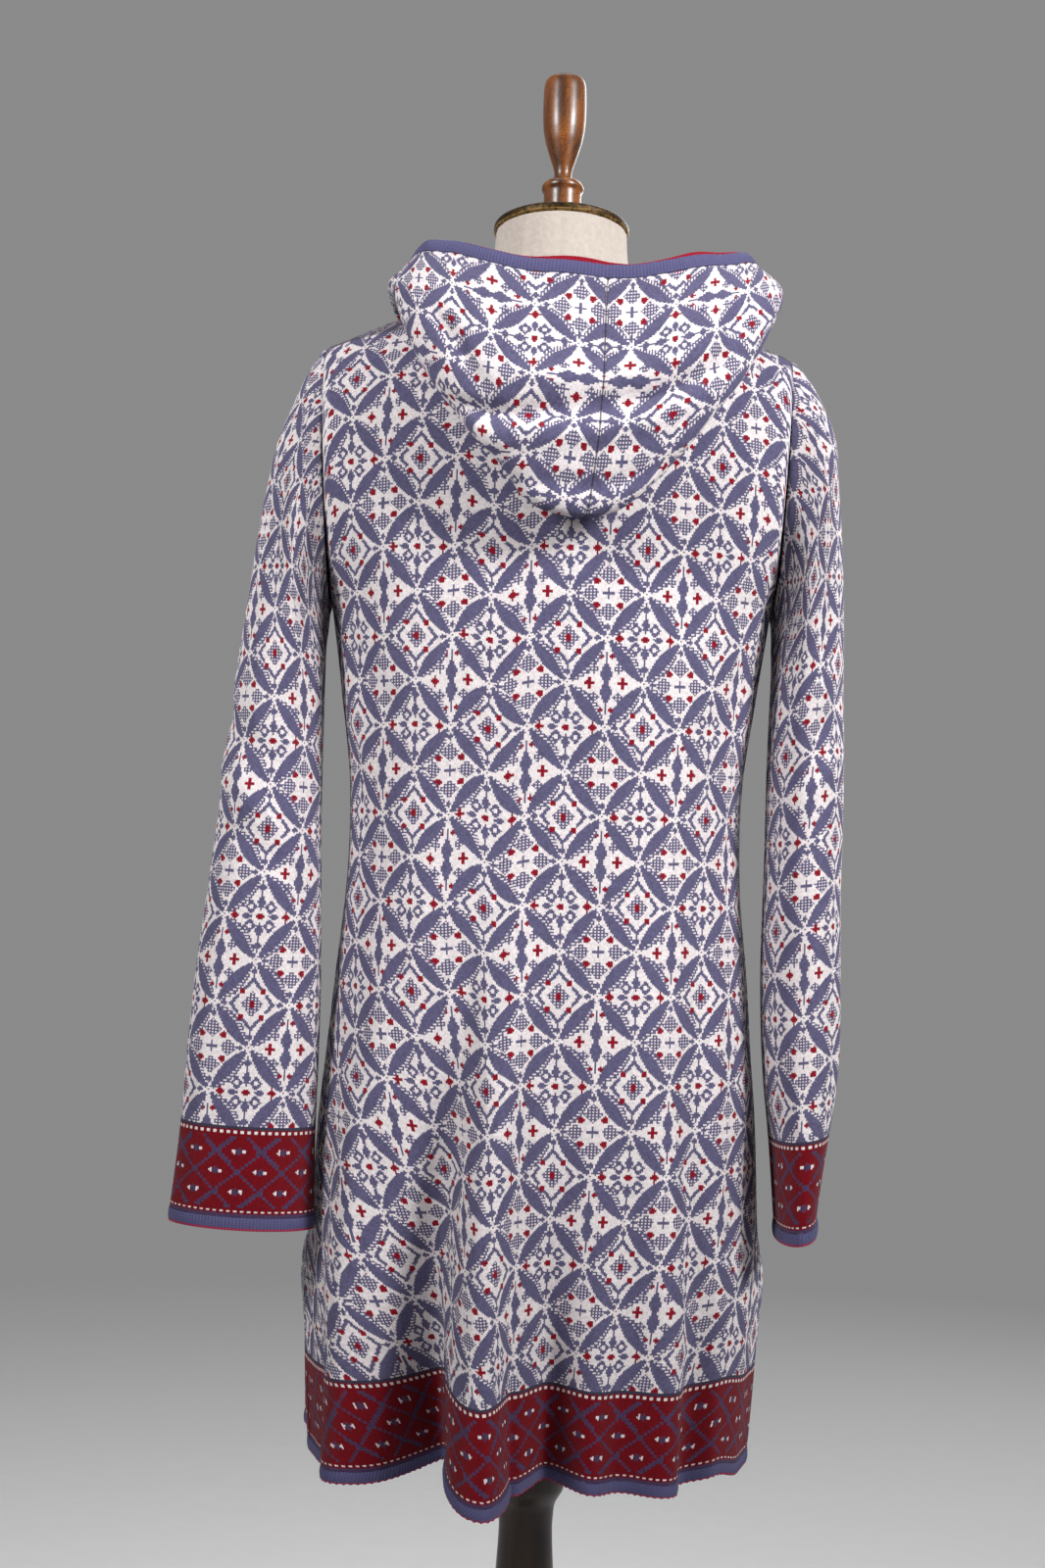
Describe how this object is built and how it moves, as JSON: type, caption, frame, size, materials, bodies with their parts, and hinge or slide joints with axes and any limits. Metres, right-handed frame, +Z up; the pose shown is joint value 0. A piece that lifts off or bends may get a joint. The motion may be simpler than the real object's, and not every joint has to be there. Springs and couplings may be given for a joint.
{
  "type": "hooded cardigan on a dress form",
  "caption": "Long hooded knit cardigan, buttoned, with the hood let down on the back, worn by a limbless dress form on a turned stand.",
  "frame": {"origin": "centre of the stand base's underside, on the floor", "axes": "+Z up; the garment's back faces -Y and its buttoned front +Y; +X is the wearer's right"},
  "size_m": [0.5248, 0.38, 1.6231],
  "materials": {
    "jacquard_knit": "matte jacquard knit, cream with a blue-violet lattice and small red and blue motifs, red borders",
    "blue_knit": "matte knitted trim, dusty blue",
    "red_knit": "matte knit, deep red",
    "button": "satin, dusty blue",
    "linen": "matte plain weave, off-white",
    "antique_brass": "dark patina with worn edges",
    "brown_wood": "high gloss varnish over speckled grain",
    "dark_wood": "satin varnish"
  },
  "bodies": {
    "root": {"back": "jacquard_knit", "front_left": "jacquard_knit", "front_right": "jacquard_knit", "sleeve_left": "jacquard_knit", "sleeve_right": "jacquard_knit", "hood_left": "jacquard_knit", "hood_right": "jacquard_knit", "hem_edge": "blue_knit", "cuff_edge_left": "blue_knit", "cuff_edge_right": "blue_knit", "hood_edge": "blue_knit", "front_band_left": "blue_knit", "front_band_right": "blue_knit", "hood_facing": "red_knit", "button_1": "button", "button_2": "button", "button_3": "button", "button_4": "button", "button_5": "button", "button_6": "button", "dress_form": "linen", "neck_cap": "antique_brass", "finial": "brown_wood", "stand_post": "dark_wood", "stand_base": "dark_wood"}
  },
  "joints": []
}
